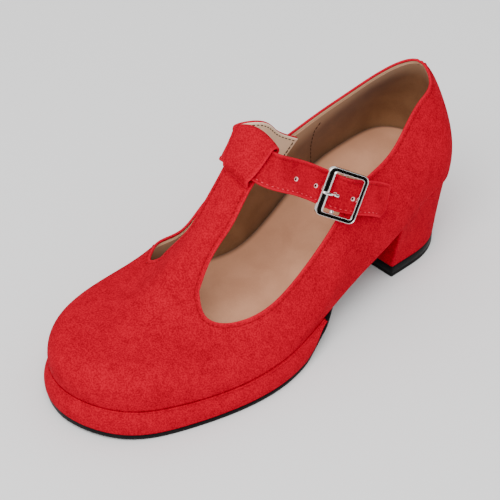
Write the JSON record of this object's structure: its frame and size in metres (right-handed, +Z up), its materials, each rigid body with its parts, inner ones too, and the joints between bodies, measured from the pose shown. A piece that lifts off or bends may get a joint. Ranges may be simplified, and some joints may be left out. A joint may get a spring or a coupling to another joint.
{
  "type": "pump shoe",
  "caption": "Round-toed left pump with a T-bar looped over a buckled ankle strap, a covered platform sole and a block heel.",
  "frame": {"origin": "on the floor under the shoe: halfway along its length and its width, on the plane that the heel and the forefoot rest on", "axes": "-Y points to the toe, +X to the outer side of the foot, +Z up from the floor"},
  "size_m": [0.0906, 0.2304, 0.1031],
  "materials": {
    "upper_red": "matte brushed faux suede with a fine grain",
    "insole_beige": "smooth matte lining sheet",
    "outsole_black": "satin",
    "buckle_metal": "polished pale metal",
    "tab_tan": "matte"
  },
  "bodies": {
    "root": {"upper": "upper_red", "insole": "insole_beige", "platform": "upper_red", "outsole": "outsole_black", "heel_block": "upper_red", "top_piece": "outsole_black", "ankle_strap": "upper_red", "buckle_frame": "buckle_metal", "buckle_prong": "buckle_metal", "buckle_tab": "tab_tan"}
  },
  "joints": []
}
